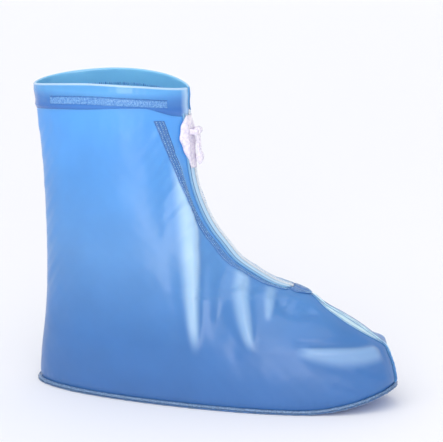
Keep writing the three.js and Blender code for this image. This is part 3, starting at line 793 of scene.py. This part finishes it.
def elastic(label, sign):
    """Elastic strip welded under the rim, with its gathers."""
    columns = 180
    angle = np.linspace(STRIP_FIRST, STRIP_LAST, columns)[None, :] * sign
    z = np.linspace(STRIP_LOW, STRIP_HIGH, 9)[:, None] + 0 * angle
    across = np.linspace(-1, 1, 9)[:, None]
    x = smooth_point(z, angle)[..., 0]
    gathers = 0.16 * np.sin(x * 3.1 + 2 * np.sin(x * 0.37)) + 0.1 * np.sin(x * 5.3)
    crown = np.sqrt(np.clip(1 - across**2, 0, 1))
    rough_end = 1 + 0.8 * smooth((x + 62) / 20)
    outer = film_point(z, angle, 1.05 + crown * (0.35 + gathers * rough_end))
    inner = film_point(z, angle, 0.55 + 0 * z)
    made = shell("elastic_band_" + label, outer, inner)
    piece(made, ELASTIC, "elastic", "elastic_strip_" + label)
    line = sign * np.linspace(STRIP_FIRST, STRIP_LAST, 400)

    def rows(places, out, pitch, way=1):
        found = []
        for height, phase in places:
            level = np.full_like(line, height)
            facing = way * outward(level, line)
            found.append(row_of_points(film_point(level, line, out), facing, pitch, phase))
        return found

    outside = rows(((245.4, 0.0), (247.2, 0.5), (249.1, 0.25)), 1.3, 1.7)
    above = rows(((250.7, 0.0),), 1.0, 0.9)
    inside = rows(((246.2, 0.0), (248.4, 0.5)), -1.72, 1.8, -1)
    rib = bump_piece("elastic_gathers_" + label, ELASTIC, "elastic", outside, (0.9, 1.7, 0.8), 0.35)
    edge = bump_piece("elastic_edge_" + label, WELD, "weld", above, (1.1, 0.55, 0.5), 0.2)
    back = bump_piece("elastic_inner_gathers_" + label, ELASTIC, "elastic", inside, (0.9, 2.0, 0.7), 0.35)
    return made, [rib, edge, back]


def tongue():
    """Gusset behind the zip, bowed into the shaft."""
    heights = np.linspace(98, 234, 70)
    side = column(TONGUE_WELD, "side", heights)
    edge = film_point(heights, angle_at_side(heights, side), -1.55, 0.0)
    t = np.linspace(-1, 1, 33)[None, :]
    half = (edge[:, 1] - 1.5)[:, None]
    depth = (8 + 0.35 * side)[:, None]
    soft = 0.5 * np.sin(heights[:, None] * 0.16 + 2.2 * t) * (1 - t**2)
    forward = np.stack(np.broadcast_arrays(half, -2 * depth * t), axis=-1)
    forward = unit(forward)
    x = edge[:, 0][:, None] - 0.4 - depth * (1 - t * t) + soft
    y = half * t
    z = edge[:, 2][:, None] + 0 * t
    outer = np.stack([x, y, z], axis=-1)
    inner = np.stack([x - 0.7 * forward[..., 0], y - 0.7 * forward[..., 1], z], axis=-1)
    made = shell("tongue_gusset", outer, inner, {"painted_highlight": np.zeros(outer.shape[:2])})
    return piece(made, FILM, "film", "tongue")


def tongue_weld(label, sign):
    heights = np.linspace(96.5, 234, 150)
    middle = column(TONGUE_WELD, "side", heights)
    half = column(TONGUE_WELD, "width", heights) / 2
    near = sign * (middle - half)
    far = sign * (middle + half)
    high = np.array([0.45, 0.85, 0.62, 0.55, 0.62, 0.85, 0.45])[None, :]
    outer = strip_grid(heights, near, far, 7, high)
    inner = strip_grid(heights, near, far, 7, 0.12)
    made = piece(shell("weld_band_" + label, outer, inner), WELD, "weld", "tongue_weld_" + label)
    rows = [
        row_on_film(heights, sign * (middle + share * half), 0.7, 1.6, phase)
        for share, phase in ((-0.62, 0.0), (0.0, 0.5), (0.62, 0.0))
    ]
    knurl = bump_piece("tongue_knurl_" + label, KNURL, "weld", rows, (1.0, 0.75, 0.7), 0.25)
    return made, knurl


def zip_tape(label, sign):
    heights = np.linspace(ZIP_END + 2.6, ZIP_TOP, 150)
    weld = column(TONGUE_WELD, "side", heights) - column(TONGUE_WELD, "width", heights) / 2
    near = np.full_like(heights, sign * (CHAIN_HALF + 0.2))
    far = sign * np.minimum(TAPE_HALF, weld - 0.3)
    high = np.array([0.75, 0.8, 0.8, 0.72, 0.8, 0.95, 1.15, 0.8])[None, :]
    outer = strip_grid(heights, near, far, 8, high)
    inner = strip_grid(heights, near, far, 8, 0.2)
    made = shell("zip_tape_" + label, outer, inner)
    return piece(made, TAPE, "tape", "zipper_tape_" + label)


def zip_coil():
    """Closed coil: a core strip and two staggered rows of coil loops."""
    heights = np.linspace(ZIP_END + 2.6, ZIP_TOP - 1, 200)
    near = np.full_like(heights, -CHAIN_HALF)
    outer = strip_grid(heights, near, -near, 5, np.array([0.1, 0.5, 0.6, 0.5, 0.1])[None, :])
    inner = strip_grid(heights, near, -near, 5, -0.6)
    piece(shell("zip_core", outer, inner), COIL, "zip_plastic", "zipper_chain")
    rows = [
        row_on_film(heights, np.full_like(heights, side), 0.75, 1.45, phase)
        for side, phase in ((-0.95, 0.0), (0.95, 0.5))
    ]
    bump_piece("zip_coil_loops", COIL, "zip_plastic", rows, (0.95, 2.4, 1.3), 0.04)


def zip_end():
    """Leaf-shaped weld over the lower end of the zip, with its knurling."""
    heights = np.linspace(ZIP_END + 2.1, TOE_END + 0.6, 40)
    t = np.linspace(0, 1, 40)
    half = 1.2 + 7.6 * np.sin(math.pi * np.clip(0.28 + 0.72 * t, 0, 1)) ** 0.8
    across = np.linspace(-1, 1, 15)[None, :]
    high = 1.25 + 0.35 * np.cos(across * 9) - 0.3 * across**2
    outer = strip_grid(heights, -half, half, 15, high)
    inner = strip_grid(heights, -half, half, 15, 0.3)
    piece(shell("zip_end_leaf", outer, inner), WELD, "weld", "zipper_end_weld")
    shares = (-0.86, -0.45, 0.0, 0.45, 0.86)
    rows = [row_on_film(heights, half * share + 1e-3, 1.45, 1.5, abs(share)) for share in shares]
    bump_piece("zip_end_knurl", KNURL, "weld", rows, (1.1, 0.7, 0.6), 0.3)


def toe_seam():
    """Leaf-shaped seam over the toe, narrow down its front, with lines of small welds."""
    top = np.linspace(TOE_END, TOE_CORNER, 90)
    front = np.linspace(TOE_CORNER, 4.1, 60)[1:]
    heights = np.concatenate([top, front])
    t = np.clip((TOE_END - heights) / (TOE_END - TOE_CORNER), 0, 1)
    half = 1.3 + 7.2 * np.sin(math.pi * t**1.15) ** 1.2
    across = np.linspace(-1, 1, 19)[None, :]
    ripple = 0.12 * np.sin(heights[:, None] * 0.9 + 3 * across)
    ridge = 0.9 * np.exp(-((across * half[:, None] / 1.0) ** 2))
    outer = strip_grid(heights, -half, half, 19, 0.75 + ridge + ripple * (1 - across**2))
    inner = strip_grid(heights, -half, half, 19, 0.2)
    piece(shell("toe_seam_leaf", outer, inner), LEAF, "weld", "toe_seam")
    rows = []
    for sign, phase in ((-1, 0.0), (1, 0.5)):
        rows.append(row_on_film(heights, sign * np.minimum(1.5, half * 0.8), 1.15, 1.15, phase))
        rows.append(row_on_film(heights, sign * half * 0.94, 0.9, 1.15, 0.25))
    bump_piece("toe_seam_line", WELD, "weld", rows, (1.3, 0.55, 0.5), 0.2)


def around_angles(count):
    angle = 2 * math.pi * (np.arange(count) + 0.5) / count
    return np.where(angle > math.pi, angle - 2 * math.pi, angle)


def sole():
    """Sole sheet with its welded flange, from rings round its middle."""
    count = 256
    middle = np.array([float(section_at("widest", 0)) + FRAME_SHIFT, 0.0, 0.0])
    edge = smooth_point(np.zeros(count), around_angles(count))
    edge[:, 2] = 0
    edge += unit(edge - middle) * FLANGE
    rings = np.array([1.0, 0.985, 0.965, 0.93, 0.86, 0.76, 0.64, 0.5, 0.35, 0.2, 0.08])
    points = []
    for layer in (0, 1):
        for n, share in enumerate(rings):
            ring = middle + (edge - middle) * share
            round_off = 0.45 if n == 0 else 0.0
            height = SOLE_THICK * layer + round_off * (1 - 2 * layer)
            points.append(ring * [1, 1, 0] + [0, 0, 1] * (toe_lift(ring[:, :1]) + height))
        points.append(middle[None, :] + [0, 0, SOLE_THICK * layer])
    flat = np.concatenate(points)
    per = len(rings) * count + 1
    faces = []
    for k in range(count):
        n = (k + 1) % count
        for r in range(len(rings) - 1):
            a, b, c, d = r * count + k, r * count + n, (r + 1) * count + n, (r + 1) * count + k
            faces.append((a, d, c, b))
            faces.append((per + a, per + b, per + c, per + d))
        r = len(rings) - 1
        faces.append((per - 1, r * count + n, r * count + k))
        faces.append((2 * per - 1, per + r * count + k, per + r * count + n))
        faces.append((k, n, per + n, per + k))
    made = make_object("sole_sheet", flat, faces)
    return piece(made, SOLE_FILM, "film", "sole")


def sole_weld():
    """Welded bead on the flange, knurled all round by the welding wheel."""
    count = 320
    angle = around_angles(count)
    edge = smooth_point(np.zeros(count), angle)
    ahead = smooth_point(np.zeros(count), angle + 0.001)
    step = ahead - edge
    out = unit(np.stack([step[:, 1], -step[:, 0], 0 * step[:, 0]], axis=-1))
    corners = [(0.5, 1.6), (3.2, 1.65), (3.6, 2.4), (2.9, 3.4), (1.6, 3.8), (0.5, 3.6)]

    def around(reach, height):
        point = edge + out * reach
        return np.stack([point[:, 0], point[:, 1], toe_lift(point[:, 0]) + height], axis=-1)

    grid = np.stack([around(reach, height) for reach, height in corners], axis=1)
    n = len(corners)
    faces = []
    for k in range(count):
        for c in range(n):
            d = (c + 1) % n
            m = (k + 1) % count
            faces.append((k * n + c, m * n + c, m * n + d, k * n + d))
    made = make_object("sole_weld_bead", grid.reshape(-1, 3), faces)
    piece(made, WELD_DARK, "weld", "sole_seam")
    closed = np.concatenate([np.arange(count), [0]])
    sets = []
    for reach, height, tilt, phase in ((3.4, 2.3, 0.3, 0.0), (2.4, 3.5, 1.0, 0.5), (3.4, 0.8, 0.0, 0.3)):
        path = around(reach, height)[closed]
        facing = unit(out + np.array([0, 0, tilt]))[closed]
        sets.append(row_of_points(path, facing, 2.1, phase))
    knurl = bump_piece("sole_weld_knurl", WELD_DARK, "weld", sets, (1.6, 1.2, 1.0), 0.4)
    return made, knurl


def slider():
    """Moulded slider: a lumpy saddle over the zip, with two lugs and the pin."""
    rows = 40
    columns = 44
    heights = np.linspace(SLIDER_BOTTOM, SLIDER_TOP, rows)
    rise = np.linspace(0, 1, rows)[:, None]
    half = (3.6 + 9.6 * np.sin(math.pi * np.clip(0.1 + 0.8 * rise**1.35, 0, 1)) ** 1.1)[:, 0]
    half *= 1 + 0.035 * np.sin(heights * 0.55 + 0.6)
    across = np.linspace(-1, 1, columns)[None, :]
    dome = np.clip(1 - np.abs(across) ** 3.2, 0, 1) ** 0.5
    ends = np.clip(np.sin(math.pi * np.clip(rise * 0.96 + 0.02, 0, 1)), 0, 1) ** 0.4
    wing = smooth((np.abs(across) * half[:, None] - 4.7) / 3.2)
    lumps = 0.6 * np.sin(heights[:, None] * 0.5 + 1.0) + 0.15 * np.sin(heights[:, None] * 1.4)
    middle = 0.3 + 0.5 * smooth((heights[:, None] - 207) / 4)
    high = 1.5 + dome * ends * (middle + 2.4 * wing + lumps * wing)
    outer = strip_grid(heights, -half, half, columns, high, 0.0)
    inner = strip_grid(heights, -half, half, columns, 1.3, 0.0)
    saddle = shell("zip_slider", outer, inner)
    pivot = pivot_point()
    parts = [saddle]
    for sign in (-1, 1):
        parts.append(rounded_bar("lug", pivot + [-2.2, sign * 5.7, -0.3], (7.4, 2.0, 4.6), 0.8))
    parts.append(round_pin("pin", pivot, PIN_RADIUS, 10.6))
    return piece(join("zip_slider", parts), MOULDED, "zip_plastic", "zipper_slider")


def pivot_point():
    return smooth_point(PIVOT_Z, 0.0) + np.array([PIVOT_OUT, 0.0, 0.0])


def rounded_bar(name, centre, size, radius):
    """Block with rounded edges, made from a fine cage."""
    n = 9
    line = np.linspace(-1, 1, n)
    faces = []
    points = []
    lookup = {}

    def corner(i, j, k):
        key = (i, j, k)
        if key not in lookup:
            place = np.array([line[i], line[j], line[k]]) * np.array(size) / 2
            core = np.clip(place, -np.array(size) / 2 + radius, np.array(size) / 2 - radius)
            away = place - core
            length = np.linalg.norm(away)
            points.append(centre + core + (away / length * radius if length > 1e-6 else away))
            lookup[key] = len(points) - 1
        return lookup[key]

    for a in range(n - 1):
        for b in range(n - 1):
            square = [(a, b), (a + 1, b), (a + 1, b + 1), (a, b + 1)]
            other_way = [square[0], square[3], square[2], square[1]]
            for end in (0, n - 1):
                step = 1 if end else -1
                faces.append([corner(end, i, j) for i, j in square][::step])
                faces.append([corner(i, end, j) for i, j in other_way][::step])
                faces.append([corner(i, j, end) for i, j in square][::step])
    return make_object(name, np.array(points), faces)


def round_pin(name, centre, radius, length):
    """Pin along Y with bevelled ends."""
    count = 24
    turn = 2 * math.pi * np.arange(count) / count
    points = []
    for y, r in ((-0.5, 0.6), (-0.47, 1.0), (0.47, 1.0), (0.5, 0.6)):
        ring = [np.cos(turn) * radius * r, np.full(count, y * length), np.sin(turn) * radius * r]
        points.append(centre + np.stack(ring, axis=-1))
    faces = []
    for ring in range(3):
        for k in range(count):
            n = (k + 1) % count
            a = ring * count
            faces.append((a + k, a + count + k, a + count + n, a + n))
    faces.append(tuple(range(count)))
    faces.append(tuple(3 * count + k for k in reversed(range(count))))
    return make_object(name, np.concatenate(points), faces)


def join(name, parts):
    """One mesh object from several, keeping each one's faces as they are."""
    points = []
    faces = []
    for part in parts:
        start = len(points)
        points.extend([list(v.co) for v in part.data.vertices])
        faces.extend([[start + v for v in p.vertices] for p in part.data.polygons])
        bpy.data.objects.remove(part)
    mesh = bpy.data.meshes.new(name)
    mesh.from_pydata(points, [], faces)
    mesh.polygons.foreach_set("use_smooth", [True] * len(mesh.polygons))
    return new_object(name, mesh)


def tube_along_y(name, centre, outer, inner, length):
    """Tube with rounded rims, its axis along Y."""
    half = length / 2
    profile = [
        (inner, 0.3 - half),
        (inner, half - 0.3),
        (inner + 0.25, half),
        (outer - 0.7, half),
        (outer - 0.2, half - 0.2),
        (outer, half - 0.7),
        (outer, 0.7 - half),
        (outer - 0.2, 0.2 - half),
        (outer - 0.7, -half),
        (inner + 0.25, -half),
    ]
    count = 48
    turn = 2 * math.pi * np.arange(count) / count
    rings = [
        np.stack([r * np.cos(turn), np.full(count, y), r * np.sin(turn)], axis=-1) for r, y in profile
    ]
    faces = []
    for a in range(len(profile)):
        b = (a + 1) % len(profile)
        for k in range(count):
            n = (k + 1) % count
            faces.append((a * count + k, b * count + k, b * count + n, a * count + n))
    return make_object(name, np.concatenate(rings) + centre, faces)


def tab_half(z):
    """Half thickness of the tab's shank and bead at a height below the pin."""
    below = z + TAB_LENGTH
    bead = BEAD_RADIUS * np.sqrt(np.clip(1 - (below / BEAD_RADIUS) ** 2, 0, 1))
    tail = BEAD_RADIUS * np.sin(np.clip(1 + below / TAIL, 0, 1) * math.pi / 2) ** 0.9
    return np.maximum(np.where(below > 0, bead, tail), np.where(below > -1, SHANK_HALF, 0.3))


def turned_tab(points):
    """The tab's own points, hung a little forward of plumb from its pin."""
    angle = math.radians(TAB_ANGLE)
    x = points[..., 0] * math.cos(angle) - points[..., 2] * math.sin(angle)
    z = points[..., 0] * math.sin(angle) + points[..., 2] * math.cos(angle)
    return np.stack([x, points[..., 1], z], axis=-1) + pivot_point()


def pull_tab():
    """Moulded tab: round barrel on the pin, thin shank and a bead that tapers down."""
    count = 40
    turn = 2 * math.pi * np.arange(count) / count
    heights = np.concatenate([[-2.0, -2.1], np.linspace(-2.4, 0.4 - TAB_LENGTH - TAIL, 52)])
    lowest = 0.2 - TAB_LENGTH - TAIL
    rings = []
    for z, share in [(-2.0, 0.6), *[(h, 1.0) for h in heights[1:]], (lowest, 0.55)]:
        thick = float(tab_half(np.array(z))) * share
        wide = (TAB_WIDTH / 2 - 0.5 * smooth((-z - TAB_LENGTH) / 7)) * (0.9 + 0.1 * share)
        x = thick * np.sign(np.cos(turn)) * np.abs(np.cos(turn)) ** 0.5
        y = wide * np.sign(np.sin(turn)) * np.abs(np.sin(turn)) ** 0.5
        rings.append(np.stack([x, y, np.full(count, z)], axis=-1))
    faces = [tuple(range(count)), tuple((len(rings) - 1) * count + k for k in reversed(range(count)))]
    for r in range(len(rings) - 1):
        for k in range(count):
            n = (k + 1) % count
            faces.append((r * count + k, (r + 1) * count + k, (r + 1) * count + n, r * count + n))
    body = make_object("tab_body", turned_tab(np.concatenate(rings)), faces)
    barrel = tube_along_y("tab_barrel", pivot_point(), BARREL_RADIUS, PIN_HOLE, TAB_WIDTH)
    made = join("pull_tab_moulded", [body, barrel])
    return piece(made, MOULDED, "zip_plastic", "pull_tab", body="pull")


for label, sign in SIDES:
    side_film(label, sign)
    hem(label, sign)
    band, extra = elastic(label, sign)
    weld, knurl = tongue_weld(label, sign)
    tape = zip_tape(label, sign)
gusset = tongue()
zip_coil()
zip_end()
toe_seam()
bottom = sole()
bead, bead_knurl = sole_weld()
slider()
pull_tab()

for obj, body in RIDES:
    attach(obj, body)


# ---- floor, light and camera ----
def direction(azimuth, elevation):
    """Way towards a camera or light, in degrees; azimuth 0 looks at the cover's right side."""
    a = math.radians(azimuth)
    e = math.radians(elevation)
    return Vector((math.sin(a) * math.cos(e), -math.cos(a) * math.cos(e), math.sin(e)))


def sweep():
    """Studio floor that curves up into the backdrop far behind."""
    turn = np.linspace(0, math.pi / 2, 16)
    y = np.concatenate([[-40.0], 3.0 + 1.5 * np.sin(turn), [4.5]])
    z = np.concatenate([[0.0], 1.5 - 1.5 * np.cos(turn), [6.0]])
    x = np.linspace(-40, 40, 5)
    points = [(a, b, c) for b, c in zip(y, z) for a in x]
    faces = []
    for r in range(len(y) - 1):
        for c in range(len(x) - 1):
            faces.append((r * 5 + c, r * 5 + c + 1, (r + 1) * 5 + c + 1, (r + 1) * 5 + c))
    mesh = bpy.data.meshes.new("studio_floor")
    mesh.from_pydata(points, [], faces)
    mesh.polygons.foreach_set("use_smooth", [True] * len(mesh.polygons))
    made, tree = new_material("paper_sweep")
    paper = {"Base Color": linear("#f4f5f9"), "Roughness": 0.9, "Specular IOR Level": 0.1}
    finish_material(tree, paper)
    dress(new_object("studio_floor", mesh), made)


def lamp(name, kind, towards, power, place=(0.0, 0.0, 0.0)):
    data = bpy.data.lights.new(name, kind)
    data.energy = power
    obj = new_object(name, data)
    obj.location = place
    obj.rotation_euler = towards.to_track_quat("Z", "Y").to_euler()
    return data


sweep()
# A very large, far softbox gives even light over the floor, and a smaller one the film's highlights.
ceiling = lamp("ceiling_softbox", "SUN", direction(-10, 60), 1.15)
ceiling.angle = math.radians(70)
FRONT = direction(14, 12)
front = lamp("front_softbox", "AREA", FRONT, 20, Vector((0.0, 0.0, 0.12)) + FRONT * 2.6)
front.shape = "RECTANGLE"
front.size = 1.5
front.size_y = 1.3

world = bpy.data.worlds.new("studio")
world.use_nodes = True
world.node_tree.nodes["Background"].inputs["Color"].default_value = linear("#f8f7f8")
world.node_tree.nodes["Background"].inputs["Strength"].default_value = 0.7
bpy.context.scene.world = world
bpy.context.scene.view_settings.view_transform = "Standard"

BACK = direction(15, 14)
RIGHT = Vector((-BACK.y, BACK.x, 0)).normalized()
UP = BACK.cross(RIGHT)
DISTANCE = 1.8
FRAME_WIDTH = 0.37145  # metres seen across at the cover's distance
lens = bpy.data.cameras.new("camera")
lens.sensor_width = 36
lens.lens = lens.sensor_width * DISTANCE / FRAME_WIDTH
camera = new_object("camera", lens)
target = Vector((FRAME_SHIFT * MM, 0, 0.13)) + RIGHT * 0.00446 + UP * 0.01793
camera.location = target + BACK * DISTANCE
camera.rotation_euler = BACK.to_track_quat("Z", "Y").to_euler()
bpy.context.scene.camera = camera
